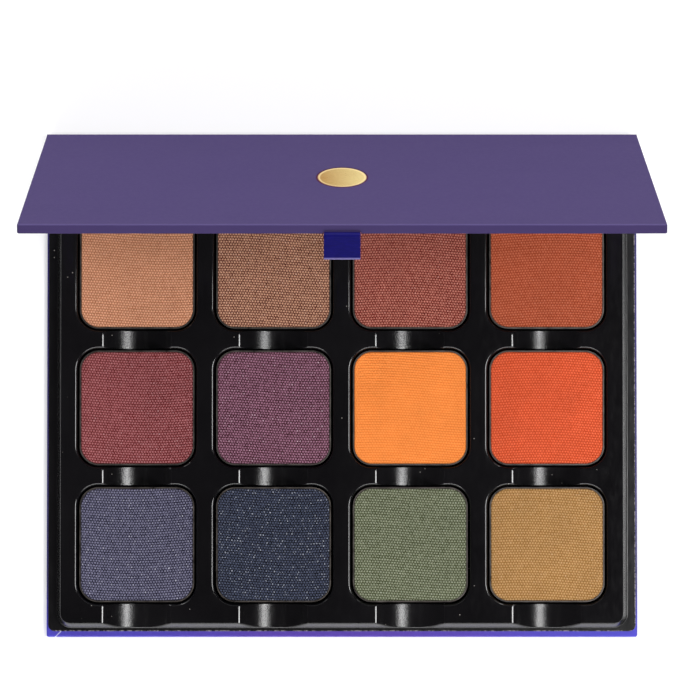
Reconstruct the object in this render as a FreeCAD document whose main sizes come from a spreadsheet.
import FreeCAD, Part
import os

import Sketcher

# Book-style eyeshadow palette: a wrapped base board and a wrapped lid board joined by a wrapped
# spine, with a formed tray of twelve tin pans on the base. The origin is the centre of the base's
# outer face, +Y points to the spine and +Z up out of the tray. Lengths are in millimetres and
# angles in degrees. The lid stands open, square to the spine, and leans over the pans.

COLUMNS = 4
ROWS = 3

# how near an edge or face lies to a place to count as being there
NEAR = 0.01
# share of a radius that the middle of a quarter turn lies across and up
DIAGONAL = 0.5 ** 0.5

SIZES = {
    # tin pans and the powder pressed into them
    "pan_side": 26.0,
    "pan_corner": 4.3,
    "pan_height": 3.6,
    "pan_wall": 0.3,
    "pan_foot_round": 0.6,
    "pan_pitch": 31.0,
    "powder_drop": 0.1,
    "powder_edge_round": 0.3,
    "dot_radius": 5.0,
    "dot_thick": 0.2,
    # formed tray with its wells and finger scoops
    "tray_sheet": 0.5,
    "pan_recess": 0.8,
    "well_clearance": 0.4,
    "well_runout": 0.35,
    "deck_margin_side": 4.2,
    "deck_margin_end": 4.9,
    "deck_corner": 2.2,
    "deck_edge_round": 0.4,
    "tray_runout": 1.0,
    "flange_side": 2.1,
    "flange_end": 0.8,
    "flange_corner": 1.5,
    "scoop_width": 14.7,
    "scoop_depth": 3.2,
    "tape_thick": 0.75,
    "tape_width": 10.0,
    "tape_clearance": 1.5,
    "magnet_thick": 1.5,
    "magnet_clearance": 0.3,
    "magnet_floor": 0.3,
    # wrapped boards, paper fold and liner
    "paper": 0.25,
    "board": 1.5,
    "spine_board_thick": 1.25,
    "board_margin_side": 0.4,
    "board_margin_end": 1.3,
    "turn_in": 12.0,
    "corner_round": 0.5,
    "edge_round": 0.3,
    "liner": 0.2,
    "liner_border": 2.5,
    "hinge_gap": 0.3,
    "lid_gap": 0.2,
    "fold_clearance": 0.05,
    "rest_lean": 15.0,
    # emblem and ribbon pull
    "emblem_width": 11.4,
    "emblem_length": 23.8,
    "emblem_thick": 0.12,
    "ribbon_width": 7.6,
    "ribbon_thick": 0.35,
    "ribbon_clearance": 0.15,
    "ribbon_tail": 9.0,
    "ribbon_reach": 5.0,
    "ribbon_hem": 3.2,
    "ribbon_stand_off": 0.35,
    "ribbon_fold_radius": 0.27,
    "ribbon_bend_radius": 0.6,
}

DERIVED = {
    # plan of the pan grid, the tray and the boards
    "grid_width": f"={COLUMNS - 1} * pan_pitch",
    "grid_depth": f"={ROWS - 1} * pan_pitch",
    "deck_width": "=grid_width + pan_side + 2 * deck_margin_side",
    "deck_depth": "=grid_depth + pan_side + 2 * deck_margin_end",
    "foot_width": "=deck_width + 2 * tray_runout",
    "foot_depth": "=deck_depth + 2 * tray_runout",
    "base_width": "=foot_width + 2 * (flange_side + board_margin_side)",
    "base_depth": "=foot_depth + 2 * (flange_end + board_margin_end)",
    # heights, counted from the base's outer face
    "panel_thick": "=2 * paper + board",
    "spine_thick": "=2 * paper + spine_board_thick",
    "well_depth": "=pan_recess + pan_height + dot_thick",
    "tray_height": "=well_depth + tray_sheet + tape_thick - paper",
    "deck_level": "=panel_thick + tray_height",
    "well_floor": "=deck_level - well_depth",
    "pan_foot": "=well_floor + dot_thick",
    "closed_height": "=deck_level + lid_gap + liner + panel_thick",
    # wells and scoops
    "well_top": "=pan_side + 2 * (well_clearance + well_runout)",
    "well_corner": "=pan_corner + well_clearance + well_runout",
    "scoop_radius": "=(scoop_width ^ 2 / 4 + scoop_depth ^ 2) / (2 * scoop_depth)",
    "scoop_axis": "=deck_level - scoop_depth + scoop_radius",
    # bar magnets between the scoops, under the deck's front margin and in the lid's free edge
    "magnet_length": "=pan_pitch - scoop_width - 2 * tray_sheet - 2 * magnet_clearance",
    "magnet_width": "=(deck_depth - grid_depth - well_top) / 2 - 2 * tray_sheet - 2 * magnet_clearance",
    "magnet_y": "=(deck_depth + grid_depth + well_top) / 4",
    # paper folds: the spine stands between the closed panels, and each fold bends about an axis
    # in the middle of its gutter, just inside the paper
    "fold_radius": "=panel_thick + liner - paper / 2 + fold_clearance",
    "gutter": "=fold_radius * pi / 2",
    "axis_height": "=fold_radius - gutter / 2 + paper / 2",
    "spine_length": "=closed_height - paper - 2 * fold_radius",
    "base_axis_y": "=(base_depth + gutter) / 2",
    "lid_axis_y": "=base_axis_y + (spine_length + gutter) * cos(rest_lean)",
    "lid_axis_z": "=axis_height + (spine_length + gutter) * sin(rest_lean)",
    # feet of the fold axes on the outer faces of the leaning spine and lid
    "spine_y": "=base_axis_y + axis_height * sin(rest_lean)",
    "spine_z": "=axis_height - axis_height * cos(rest_lean)",
    "lid_y": "=lid_axis_y + axis_height * cos(rest_lean)",
    "lid_z": "=lid_axis_z + axis_height * sin(rest_lean)",
    "panel_start": "=gutter / 2",
    "lid_end": "=gutter / 2 + base_depth",
    "spine_end": "=gutter / 2 + spine_length",
}

doc = FreeCAD.newDocument("eyeshadow_palette")
values = doc.addObject("Spreadsheet::Sheet", "values")
for row, (alias, value) in enumerate([*SIZES.items(), *DERIVED.items()], start=1):
    values.set(f"A{row}", alias)
    values.set(f"B{row}", str(value))
    values.setAlias(f"B{row}", alias)
doc.recompute()

sub_parts = []


def named(text):
    """Writes the sheet's name before each alias in a formula."""
    words = sorted([*SIZES, *DERIVED], key=len, reverse=True)
    out, i = "", 0
    while i < len(text):
        word = next((w for w in words if text.startswith(w, i)), None)
        out += f"values.{word}" if word else text[i]
        i += len(word) if word else 1
    return out


def bind(target, **formulas):
    """Ties properties of an object to formulas of the sheet's sizes; a double underscore is a dot."""
    for prop, formula in formulas.items():
        target.setExpression(prop.replace("__", "."), named(formula))


def place(target, x="0", y="0", z="0", axis=None, angle=None):
    """Puts an object at a point, turned about one axis."""
    bind(target, Placement__Base__x=x, Placement__Base__y=y, Placement__Base__z=z)
    if axis:
        target.Placement.Rotation = FreeCAD.Rotation(FreeCAD.Vector(*axis), 1)
        bind(target, Placement__Rotation__Angle=angle)


def new_body(name, keep=True):
    """A body; a kept one is a sub-part with a file of its own."""
    body = doc.addObject("PartDesign::Body", name)
    body.Label = name
    if keep:
        sub_parts.append(body)
    return body


def new_sketch(body, plane, name, height="0"):
    """A sketch on one of the body's own planes, or parallel to it at a height."""
    sketch = body.newObject("Sketcher::SketchObject", name)
    origin_plane = next(f for f in body.Origin.OriginFeatures if f.Role == plane)
    sketch.AttachmentSupport = [(origin_plane, "")]
    sketch.MapMode = "FlatFace"
    bind(sketch, AttachmentOffset__Base__z=height)
    return sketch


def number(formula):
    return float(values.evalExpression(named(formula)))


def hold(sketch, kind, formula, *where):
    """Adds a measured constraint that follows a formula."""
    index = sketch.addConstraint(Sketcher.Constraint(kind, *where, number(formula)))
    sketch.setExpression(f"Constraints[{index}]", named(formula))


def join_ends(sketch, kind, edges):
    """Joins each edge's end to the next edge's start, all the way round."""
    for edge, following in zip(edges, [*edges[1:], edges[0]]):
        sketch.addConstraint(Sketcher.Constraint(kind, edge, 2, following, 1))


def rectangle(sketch, left, right, low, high):
    """A rectangle with its sides at these distances from the sketch's axes."""
    x0, x1, y0, y1 = (number(f) for f in (left, right, low, high))
    corners = [FreeCAD.Vector(x, y) for x, y in ((x0, y0), (x1, y0), (x1, y1), (x0, y1))]
    lines = [sketch.addGeometry(Part.LineSegment(a, b)) for a, b in zip(corners, corners[1:] + corners[:1])]
    join_ends(sketch, "Coincident", lines)
    for line, kind in zip(lines, ("Horizontal", "Vertical", "Horizontal", "Vertical")):
        sketch.addConstraint(Sketcher.Constraint(kind, line))
    hold(sketch, "DistanceX", left, -1, 1, lines[0], 1)
    hold(sketch, "DistanceY", low, -1, 1, lines[0], 1)
    hold(sketch, "DistanceX", right, -1, 1, lines[2], 1)
    hold(sketch, "DistanceY", high, -1, 1, lines[2], 1)


def rounded_rectangle(sketch, x, y, width, depth, radius):
    """A rectangle about a centre, with equal round corners."""
    cx, cy, w, d, r = (number(f) for f in (x, y, width, depth, radius))
    edges, arcs = [], []
    for turn, (a, b) in enumerate(((w, d), (d, w), (w, d), (d, w))):
        spin = FreeCAD.Rotation(FreeCAD.Vector(0, 0, 1), 90 * turn)
        centre = FreeCAD.Vector(cx, cy)

        def at(u, v):
            return centre + spin.multVec(FreeCAD.Vector(u, v))

        across, up = a / 2 - r, r - b / 2
        start, end = at(across, -b / 2), at(a / 2, up)
        middle = at(across + r * DIAGONAL, up - r * DIAGONAL)
        edges.append(sketch.addGeometry(Part.LineSegment(at(-across, -b / 2), start)))
        arcs.append(sketch.addGeometry(Part.Arc(start, middle, end)))
        edges.append(arcs[-1])
    join_ends(sketch, "Tangent", edges)
    for line, kind in zip(edges[::2], ("Horizontal", "Vertical", "Horizontal", "Vertical")):
        sketch.addConstraint(Sketcher.Constraint(kind, line))
    for arc in arcs[1:]:
        sketch.addConstraint(Sketcher.Constraint("Equal", arcs[0], arc))
    hold(sketch, "Radius", radius, arcs[0])
    hold(sketch, "DistanceY", f"{y} - ({depth}) / 2", -1, 1, edges[0], 1)
    hold(sketch, "DistanceX", f"{x} + ({width}) / 2", -1, 1, edges[2], 1)
    hold(sketch, "DistanceY", f"{y} + ({depth}) / 2", -1, 1, edges[4], 1)
    hold(sketch, "DistanceX", f"{x} - ({width}) / 2", -1, 1, edges[6], 1)


def ellipse(sketch, x, y, width, depth):
    """An ellipse about a centre, longer along the sketch's upright axis."""
    cx, cy, w, d = (number(f) for f in (x, y, width, depth))
    centre = FreeCAD.Vector(cx, cy)
    top, side = FreeCAD.Vector(cx, cy + d / 2), FreeCAD.Vector(cx + w / 2, cy)
    oval = sketch.addGeometry(Part.Ellipse(top, side, centre))
    sketch.exposeInternalGeometry(oval)
    long_axis, short_axis = oval + 1, oval + 2
    sketch.addConstraint(Sketcher.Constraint("Vertical", long_axis))
    hold(sketch, "Distance", depth, long_axis)
    hold(sketch, "Distance", width, short_axis)
    sketch.addConstraint(Sketcher.Constraint("PointOnObject", oval, 3, -2))
    hold(sketch, "DistanceY", y, -1, 1, oval, 3)


def pad(sketch, length, taper="0"):
    """Material from a sketch upwards, its outline spreading by the taper angle."""
    feature = sketch.getParentGeoFeatureGroup().newObject("PartDesign::Pad", sketch.Name + "_pad")
    feature.Profile = sketch
    bind(feature, Length=length, TaperAngle=taper)
    doc.recompute()
    return feature


def pocket(sketch, length, taper="0", upwards=False):
    """A cut from a sketch downwards, or upwards, checked to have removed something."""
    body = sketch.getParentGeoFeatureGroup()
    before = body.Tip.Shape.Volume
    feature = body.newObject("PartDesign::Pocket", sketch.Name + "_cut")
    feature.Profile = sketch
    feature.Reversed = upwards
    bind(feature, Length=length, TaperAngle=taper)
    doc.recompute()
    if not feature.Shape.Volume < before:
        raise ValueError(f"{feature.Name} cut nothing")
    return feature


def row_of(feature, count, spacing):
    """Repeats a feature along +X."""
    body = feature.getParentGeoFeatureGroup()
    pattern = body.newObject("PartDesign::LinearPattern", feature.Name + "_row")
    pattern.Originals = [feature]
    x_axis = next(f for f in body.Origin.OriginFeatures if f.Role == "X_Axis")
    pattern.Direction = (x_axis, [""])
    pattern.Occurrences = count
    bind(pattern, Length=f"{count - 1} * {spacing}")
    body.Tip = pattern
    doc.recompute()
    return pattern


def fillet(feature, radius, chosen):
    """Rounds the edges that a test on their middle point and direction picks."""
    body = feature.getParentGeoFeatureGroup()
    names = []
    for i, edge in enumerate(feature.Shape.Edges, start=1):
        middle = edge.valueAt((edge.FirstParameter + edge.LastParameter) / 2)
        if chosen(middle, edge.BoundBox):
            names.append(f"Edge{i}")
    rounded = body.newObject("PartDesign::Fillet", feature.Name + f"_round{len(body.Group)}")
    rounded.Base = (feature, names)
    bind(rounded, Radius=radius)
    doc.recompute()
    return rounded


def level(box, height):
    """True for an edge that lies flat at a height."""
    return max(abs(box.ZMin - number(height)), abs(box.ZMax - number(height))) < NEAR


def group(name, pieces):
    """Several like solids kept under one name."""
    compound = doc.addObject("Part::Compound", name)
    compound.Label = name
    compound.Links = pieces
    sub_parts.append(compound)
    return compound


def in_base(body):
    """Panel frame of the base: origin under the base fold's axis, +Y to the front edge."""
    place(body, y="base_axis_y", axis=(0, 0, 1), angle="180")


def in_spine(body):
    """Panel frame of the spine: origin on its outer face at the base fold's axis."""
    place(body, y="spine_y", z="spine_z", axis=(1, 0, 0), angle="rest_lean")


def in_lid(body):
    """Panel frame of the lid: origin on its outer face at the lid fold's axis."""
    place(body, y="lid_y", z="lid_z", axis=(1, 0, 0), angle="rest_lean + 90")


def wrap(name, board, end, closed_end):
    """Covering paper of one panel: outer sheet, folded sides and turn-ins, with room for the board.

    A closed end is folded over like the sides; an open one runs on into a fold.
    """
    thick = f"(2 * paper + {board})"
    body = new_body(name)
    outline = new_sketch(body, "XY_Plane", name + "_outline")
    rectangle(outline, "-base_width / 2", "base_width / 2", "panel_start", end)
    block = pad(outline, thick)
    length_end, half = number(end), number("base_width / 2")
    if closed_end:
        block = fillet(block, "corner_round",
                       lambda p, box: box.ZLength > NEAR and p.y > length_end - NEAR)
    rim = number("corner_round") + NEAR

    def on_folded_rim(p, box):
        at_face = level(box, "0") or level(box, thick)
        return at_face and (abs(p.x) > half - rim or closed_end and p.y > length_end - rim)

    fillet(block, "edge_round", on_folded_rim)
    past = "hinge_gap"
    inner_end = f"{end} - paper" if closed_end else f"{end} + {past}"
    room = new_sketch(body, "XY_Plane", name + "_room", "paper")
    rectangle(room, "paper - base_width / 2", "base_width / 2 - paper", f"panel_start - {past}", inner_end)
    pocket(room, board, upwards=True)
    window_end = f"{end} - turn_in" if closed_end else f"{end} + {past}"
    window = new_sketch(body, "XY_Plane", name + "_window", f"paper + {board}")
    rectangle(window, "turn_in - base_width / 2", "base_width / 2 - turn_in",
              f"panel_start - {past}", window_end)
    pocket(window, "paper", upwards=True)
    return body


def stiffener(name, thick, end, closed_end):
    """Grey board that the covering paper of a panel is folded round."""
    body = new_body(name)
    outline = new_sketch(body, "XY_Plane", name + "_outline", "paper")
    far = f"{end} - paper" if closed_end else end
    near = "panel_start + hinge_gap" if closed_end else "panel_start"
    rectangle(outline, "paper - base_width / 2", "base_width / 2 - paper", near, far)
    pad(outline, thick)
    return body


def crease(name, bend, start_y, start_z, lean):
    """Folded paper between two panels: a sheet bent to an arc that runs on from both outer faces.

    The arc starts at a point on the first panel's outer face, and its centre stands square above it.
    """
    body = new_body(name)
    radius = f"(gutter / (2 * tan(({bend}) / 2)) + axis_height)"
    section = new_sketch(body, "XZ_Plane", name + "_section")
    rectangle(section, "-base_width / 2", "base_width / 2", f"-{radius}", f"paper - {radius}")
    turn = body.newObject("PartDesign::Revolution", name + "_bend")
    turn.Profile = section
    turn.ReferenceAxis = (section, ["H_Axis"])
    bind(turn, Angle=bend)
    doc.recompute()
    place(body, y=f"{start_y} - {radius} * sin({lean})", z=f"{start_z} + {radius} * cos({lean})",
          axis=(1, 0, 0), angle=lean)


def tray_form(name, inset, flange):
    """The tray's plateau with its wells and scoops, drawn in by an inset.

    With no inset it is the tray's outer skin; drawn in by the sheet's thickness, its under side.
    """
    body = new_body(name, keep=False)
    if flange:
        rim = new_sketch(body, "XY_Plane", name + "_rim", "panel_thick")
        rounded_rectangle(rim, "0", "0", "foot_width + 2 * flange_side", "foot_depth + 2 * flange_end",
                          "flange_corner")
        pad(rim, "tray_sheet")
    foot = new_sketch(body, "XY_Plane", name + "_foot", "panel_thick")
    rounded_rectangle(foot, "0", "0", f"foot_width - 2 * {inset}", f"foot_depth - 2 * {inset}",
                      f"deck_corner + tray_runout - {inset}")
    plateau = pad(foot, f"tray_height - {inset}", "-atan(tray_runout / tray_height)")
    if flange:
        top = number("deck_level")
        fillet(plateau, "deck_edge_round", lambda p, box: box.ZMin > top - NEAR)
    spread = f"(well_runout * {inset} / well_depth)"
    for row in range(ROWS):
        wells = new_sketch(body, "XY_Plane", f"{name}_wells{row}", f"deck_level - {inset}")
        rounded_rectangle(wells, "-grid_width / 2", f"grid_depth / 2 - {row} * pan_pitch",
                          f"well_top + 2 * {inset} - 2 * {spread}", f"well_top + 2 * {inset} - 2 * {spread}",
                          f"well_corner + {inset} - {spread}")
        row_of(pocket(wells, "well_depth", "-atan(well_runout / well_depth)"), COLUMNS, "pan_pitch")
    scoop = new_sketch(body, "XZ_Plane", name + "_scoop", "-grid_depth / 2")
    circle = Part.Circle(FreeCAD.Vector(number("-grid_width / 2"), number("scoop_axis")),
                         FreeCAD.Vector(0, 0, 1), number(f"scoop_radius + {inset}"))
    ring = scoop.addGeometry(circle)
    hold(scoop, "Radius", f"scoop_radius + {inset}", ring)
    hold(scoop, "DistanceX", "-grid_width / 2", -1, 1, ring, 3)
    hold(scoop, "DistanceY", "scoop_axis", -1, 1, ring, 3)
    row_of(pocket(scoop, "grid_depth / 2 + base_depth / 2", upwards=True), COLUMNS, "pan_pitch")
    return body


def pan_tray():
    """One sheet formed over the wells, scoops and skirt, with a flat flange on the base."""
    tray = doc.addObject("Part::Cut", "pan_tray")
    tray.Label = "pan_tray"
    tray.Base = tray_form("tray_skin", "0", flange=True)
    tray.Tool = tray_form("tray_hollow", "tray_sheet", flange=False)
    sub_parts.append(tray)


def pan(name, x, y):
    """Drawn tin cup with a round foot."""
    body = new_body(name)
    outline = new_sketch(body, "XY_Plane", name + "_outline")
    rounded_rectangle(outline, "0", "0", "pan_side", "pan_side", "pan_corner")
    block = fillet(pad(outline, "pan_height"), "pan_foot_round", lambda p, box: level(box, "0"))
    top = number("pan_height")
    lid_face = next(i for i, f in enumerate(block.Shape.Faces, 1) if f.BoundBox.ZMin > top - NEAR)
    cup = body.newObject("PartDesign::Thickness", name + "_cup")
    cup.Base = (block, [f"Face{lid_face}"])
    cup.Reversed = True
    bind(cup, Value="pan_wall")
    place(body, x, y, "pan_foot")


def powder(name, x, y):
    """Pressed powder that fills a pan to just under its rim."""
    body = new_body(name)
    outline = new_sketch(body, "XY_Plane", name + "_outline")
    rounded_rectangle(outline, "0", "0", "pan_side - 2 * pan_wall", "pan_side - 2 * pan_wall",
                      "pan_corner - pan_wall")
    height = "(pan_height - pan_wall - powder_drop)"
    cake = fillet(pad(outline, height), "pan_foot_round - pan_wall", lambda p, box: level(box, "0"))
    fillet(cake, "powder_edge_round", lambda p, box: level(box, height))
    place(body, x, y, "pan_foot + pan_wall")


def box(name, length, width, height, x, y, z):
    """A plain block centred on x and y, standing on z."""
    block = doc.addObject("Part::Box", name)
    bind(block, Length=length, Width=width, Height=height)
    place(block, f"{x} - ({length}) / 2", f"{y} - ({width}) / 2", z)
    return block


def lid_board():
    """Lid's grey board with two magnet seats and a shallow seat for the ribbon's tail."""
    body = stiffener("lid_board", "board", "lid_end", closed_end=True)
    seats = new_sketch(body, "XY_Plane", "magnet_seats", "paper + board")
    for side in (-1, 1):
        x, y = f"{side} * pan_pitch", "(base_axis_y + magnet_y)"
        rectangle(seats, f"{x} - magnet_length / 2", f"{x} + magnet_length / 2",
                  f"{y} - magnet_width / 2", f"{y} + magnet_width / 2")
    pocket(seats, "board - magnet_floor")
    tail = new_sketch(body, "XY_Plane", "tail_seat", "paper + board")
    rectangle(tail, "-ribbon_width / 2 - ribbon_clearance", "ribbon_width / 2 + ribbon_clearance",
              "lid_end - ribbon_tail", "lid_end")
    pocket(tail, "ribbon_thick - paper")
    in_lid(body)


def lid_wrap():
    """Lid's covering paper, with a sunk oval for the emblem and a notch for the ribbon."""
    body = wrap("lid_wrap", "board", "lid_end", closed_end=True)
    notch = new_sketch(body, "XY_Plane", "ribbon_notch", "panel_thick")
    rectangle(notch, "-ribbon_width / 2 - ribbon_clearance", "ribbon_width / 2 + ribbon_clearance",
              "lid_end - ribbon_tail", "lid_end + hinge_gap")
    pocket(notch, "ribbon_thick")
    seat = new_sketch(body, "XY_Plane", "emblem_seat")
    ellipse(seat, "0", "panel_start + base_depth / 2", "emblem_width", "emblem_length")
    pocket(seat, "emblem_thick", upwards=True)
    in_lid(body)


def lid_emblem():
    """Plain oval of gold foil pressed flush into the lid's outer face."""
    body = new_body("lid_emblem")
    outline = new_sketch(body, "XY_Plane", "emblem_outline")
    ellipse(outline, "0", "panel_start + base_depth / 2", "emblem_width", "emblem_length")
    pad(outline, "emblem_thick")
    in_lid(body)


def lid_liner():
    """Paper glued over the turn-ins and down onto the bare board inside them."""
    body = new_body("lid_liner")
    sheet = new_sketch(body, "XY_Plane", "liner_sheet", "panel_thick")
    start = "panel_start + hinge_gap"
    rectangle(sheet, "liner_border - base_width / 2", "base_width / 2 - liner_border",
              start, "lid_end - liner_border")
    pad(sheet, "liner")
    sunk = new_sketch(body, "XY_Plane", "liner_sunk", "paper + board")
    rectangle(sunk, "turn_in - base_width / 2", "base_width / 2 - turn_in", start, "lid_end - turn_in")
    pad(sunk, "paper + liner")
    hollow = new_sketch(body, "XY_Plane", "liner_hollow", "panel_thick + liner")
    rectangle(hollow, "turn_in + liner - base_width / 2", "base_width / 2 - turn_in - liner",
              "panel_start", "lid_end - turn_in - liner")
    pocket(hollow, "paper")
    in_lid(body)


def spine_liner():
    """Paper over the inside of the spine, between its turn-ins and on the bare board."""
    body = new_body("spine_liner")
    sheet = new_sketch(body, "XY_Plane", "spine_sheet", "paper + spine_board_thick")
    rectangle(sheet, "turn_in - base_width / 2", "base_width / 2 - turn_in", "panel_start", "spine_end")
    pad(sheet, "paper")
    in_spine(body)


def pull_ribbon():
    """Ribbon tab: a tail glued under the liner, a square bend over the edge and a doubled hem."""
    body = new_body("pull_ribbon")
    path = new_sketch(body, "YZ_Plane", "ribbon_path")
    tail_y, tail_z = number("lid_end - ribbon_tail"), number("panel_thick - ribbon_thick / 2")
    outer = number("lid_end + ribbon_stand_off + ribbon_thick / 2 + 2 * ribbon_fold_radius")
    bend, fold = number("ribbon_bend_radius"), number("ribbon_fold_radius")
    tip, hem = tail_z + number("ribbon_reach"), tail_z + number("ribbon_reach - ribbon_hem")

    def point(y, z):
        return FreeCAD.Vector(y, z)

    bend_middle = point(outer - bend + bend * DIAGONAL, tail_z + bend - bend * DIAGONAL)
    pieces = [
        Part.LineSegment(point(tail_y, tail_z), point(outer - bend, tail_z)),
        Part.Arc(point(outer - bend, tail_z), bend_middle, point(outer, tail_z + bend)),
        Part.LineSegment(point(outer, tail_z + bend), point(outer, tip)),
        Part.Arc(point(outer, tip), point(outer - fold, tip + fold), point(outer - 2 * fold, tip)),
        Part.LineSegment(point(outer - 2 * fold, tip), point(outer - 2 * fold, hem)),
    ]
    edges = [path.addGeometry(piece) for piece in pieces]
    for edge, following in zip(edges, edges[1:]):
        path.addConstraint(Sketcher.Constraint("Tangent", edge, 2, following, 1))
    path.addConstraint(Sketcher.Constraint("Horizontal", edges[0]))
    path.addConstraint(Sketcher.Constraint("Vertical", edges[2]))
    hold(path, "DistanceX", "lid_end - ribbon_tail", -1, 1, edges[0], 1)
    hold(path, "DistanceY", "panel_thick - ribbon_thick / 2", -1, 1, edges[0], 1)
    hold(path, "DistanceX", "lid_end + ribbon_stand_off + ribbon_thick / 2 + 2 * ribbon_fold_radius",
         -1, 1, edges[2], 1)
    hold(path, "Radius", "ribbon_bend_radius", edges[1])
    hold(path, "Radius", "ribbon_fold_radius", edges[3])
    hold(path, "DistanceY", "panel_thick - ribbon_thick / 2 + ribbon_reach", -1, 1, edges[2], 2)
    hold(path, "DistanceY", "panel_thick - ribbon_thick / 2 + ribbon_reach - ribbon_hem", -1, 1, edges[4], 2)
    section = new_sketch(body, "XZ_Plane", "ribbon_section", "ribbon_tail - lid_end")
    rectangle(section, "-ribbon_width / 2", "ribbon_width / 2", "panel_thick - ribbon_thick", "panel_thick")
    ribbon = body.newObject("PartDesign::AdditivePipe", "ribbon_strip")
    ribbon.Profile = section
    ribbon.Spine = path
    doc.recompute()
    in_lid(body)


in_base(wrap("base_wrap", "board", "lid_end", closed_end=True))
in_base(stiffener("base_board", "board", "lid_end", closed_end=True))
pan_tray()

rows = [f"grid_depth / 2 - {row} * pan_pitch" for row in range(ROWS)]
columns = [f"{column} * pan_pitch - grid_width / 2" for column in range(COLUMNS)]
group("tray_tape", [
    box(f"tape{i}", "base_width - 2 * (turn_in + tape_clearance)", "tape_width", "tape_thick",
        "0", y, "paper + board")
    for i, y in enumerate(rows)
])
group("tray_magnets", [
    box(f"tray_magnet{i}", "magnet_length", "magnet_width", "magnet_thick",
        f"{side} * pan_pitch", "-magnet_y", "deck_level - tray_sheet - magnet_thick")
    for i, side in enumerate((-1, 1))
])

dots = []
for number_of_pan, (y, x) in enumerate([(y, x) for y in rows for x in columns], start=1):
    pan(f"pan_{number_of_pan:02d}", x, y)
    powder(f"powder_{number_of_pan:02d}", x, y)
    dot = doc.addObject("Part::Cylinder", f"dot{number_of_pan}")
    bind(dot, Radius="dot_radius", Height="dot_thick")
    place(dot, x, y, "well_floor")
    dots.append(dot)
group("pan_glue_dots", dots)

in_spine(wrap("spine_wrap", "spine_board_thick", "spine_end", closed_end=False))
in_spine(stiffener("spine_board", "spine_board_thick", "spine_end", closed_end=False))
spine_liner()
lid_wrap()
lid_board()
lid_liner()
lid_emblem()
pull_ribbon()
lid_magnets = new_body("lid_magnets")
bars = new_sketch(lid_magnets, "XY_Plane", "lid_bars", "paper + magnet_floor")
for side in (-1, 1):
    rectangle(bars, f"{side} * pan_pitch - magnet_length / 2", f"{side} * pan_pitch + magnet_length / 2",
              "base_axis_y + magnet_y - magnet_width / 2", "base_axis_y + magnet_y + magnet_width / 2")
pad(bars, "board - magnet_floor")
in_lid(lid_magnets)

crease("base_crease", "rest_lean", "base_depth / 2", "0", "0")
crease("lid_crease", "90", "spine_y + spine_end * cos(rest_lean)", "spine_z + spine_end * sin(rest_lean)",
       "rest_lean")

doc.recompute()
failed = [o.Label for o in doc.Objects if {"Invalid", "Error"} & set(o.State)]
broken = [p.Label for p in sub_parts if p.Shape.isNull() or not p.Shape.isValid()]
if failed or broken:
    raise RuntimeError(f"failed objects {failed}, broken shapes {broken}")

os.makedirs("parts", exist_ok=True)
for piece in sub_parts:
    piece.Shape.exportStep(f"parts/{piece.Label}.step")
    print(piece.Label, len(piece.Shape.Solids), round(piece.Shape.Volume, 2))
print("fold axes", [round(number(f), 3) for f in ("base_axis_y", "axis_height", "lid_axis_y", "lid_axis_z")])
